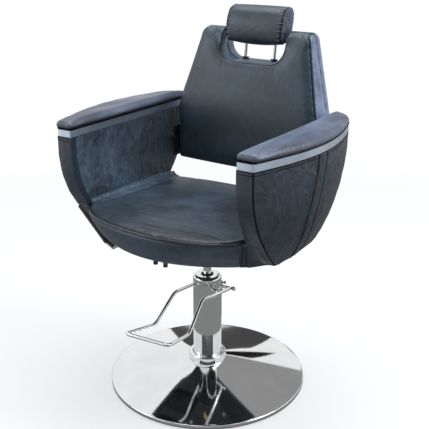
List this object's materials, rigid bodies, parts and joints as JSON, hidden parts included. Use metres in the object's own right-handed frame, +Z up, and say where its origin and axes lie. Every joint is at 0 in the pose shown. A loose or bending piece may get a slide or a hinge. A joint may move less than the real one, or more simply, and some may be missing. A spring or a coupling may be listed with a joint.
{
  "type": "threading chair",
  "caption": "Upholstered salon chair with wide rounded arms, reclining notched back and headrest, on a hydraulic column with a pump pedal and a round base.",
  "frame": {"origin": "on the floor at the middle of the round base, on the axis of the column", "axes": "+Z up along the column; the sitter faces -Y; +X is the side of the sitter's left arm"},
  "size_m": [0.7547, 0.6566, 1.1075],
  "materials": {
    "chrome": "mirror",
    "rubber": "matt",
    "cast": "rough",
    "steel": "satin",
    "brass": "turned",
    "black_metal": "satin black",
    "black_plastic": "satin black",
    "white_plastic": "matt",
    "wood": "raw plywood",
    "upholstery": "coated cloth over foam, soft sheen",
    "trim": "brushed"
  },
  "bodies": {
    "base": {"base_dome": "chrome", "base_foot_ring": "rubber", "base_weight": "cast", "base_bolts": "steel", "column_tube": "chrome", "collar_ring": "chrome", "column_cap": "chrome", "oil_cylinder": "steel", "rod_bush": "brass", "rod_wiper": "rubber", "pedal_bracket": "steel", "plunger_barrel": "steel", "release_screw": "steel"},
    "pedal": {"pedal_loop": "chrome", "pedal_shaft": "steel", "pedal_nuts": "chrome", "pedal_yoke": "steel"},
    "plunger": {"pump_plunger": "steel"},
    "piston": {"piston_rod": "chrome", "piston_head": "steel", "thrust_washer": "white_plastic", "swivel_nut": "steel"},
    "seat": {"mounting_plate": "black_metal", "plate_bolts": "steel", "seat_rails": "black_metal", "seat_board": "wood", "seat_cushion": "upholstery", "front_apron": "upholstery", "clamp_bracket": "black_metal", "clamp_screws": "black_plastic", "lever_bracket": "black_metal", "arm_panel_left": "wood", "arm_panel_right": "wood", "arm_lining_left": "upholstery", "arm_lining_right": "upholstery", "arm_shell_left": "upholstery", "arm_shell_right": "upholstery", "arm_front_left": "upholstery", "arm_front_right": "upholstery", "arm_board_left": "wood", "arm_board_right": "wood", "arm_trim_left": "trim", "arm_trim_right": "trim", "arm_pad_left": "upholstery", "arm_pad_right": "upholstery", "arm_bolts": "steel", "hinge_bushes": "brass", "gas_tube": "black_metal"},
    "lever": {"lever_pin": "steel", "lever_bar": "steel", "lever_grip": "black_plastic"},
    "back": {"hinge_plates": "black_metal", "recline_crank": "steel", "back_board": "wood", "back_cushion": "upholstery", "back_cover": "upholstery", "post_sleeves": "black_plastic"},
    "headrest": {"headrest_posts": "chrome", "headrest_pad": "upholstery"},
    "gas_rod": {"gas_rod": "steel"}
  },
  "joints": [
    {"name": "seat_lift", "type": "slide", "parent": "base", "child": "piston", "axis": [0, 0, 1], "range_m": [-0.09, 0.06]},
    {"name": "seat_swivel", "type": "hinge", "parent": "piston", "child": "seat", "pos_m": [0, 0, 0.46], "axis": [0, 0, 1], "continuous": true},
    {"name": "pedal_pump", "type": "hinge", "parent": "base", "child": "pedal", "pos_m": [-0.00453, 0.0518, 0.287], "axis": [0.9962, 0.0872, 0], "range_deg": [0, 15], "stiffness_Nm_per_rad": 8, "springref_deg": -28.65},
    {"name": "plunger_stroke", "type": "slide", "parent": "base", "child": "plunger", "axis": [0, 0, 1], "range_m": [0, 0.0045]},
    {"name": "back_recline", "type": "hinge", "parent": "seat", "child": "back", "pos_m": [0, 0.205, 0.68], "axis": [-1, 0, 0], "range_deg": [0, 35]},
    {"name": "gas_rod_slide", "type": "slide", "parent": "seat", "child": "gas_rod", "axis": [0, -0.7438, 0.6684], "range_m": [0, 0.0364]},
    {"name": "recline_lever", "type": "hinge", "parent": "seat", "child": "lever", "pos_m": [-0.195, -0.132, 0.472], "axis": [0, -1, 0], "range_deg": [0, 15], "stiffness_Nm_per_rad": 1.5, "springref_deg": -17.19},
    {"name": "headrest_slide", "type": "slide", "parent": "back", "child": "headrest", "axis": [0, 0.1305, 0.9914], "range_m": [-0.04, 0.06]}
  ],
  "couplings": [
    {"joint": "plunger_stroke", "follows": "pedal_pump", "m_per_rad": 0.017},
    {"joint": "gas_rod_slide", "follows": "back_recline", "m_per_rad": 0.05948}
  ]
}
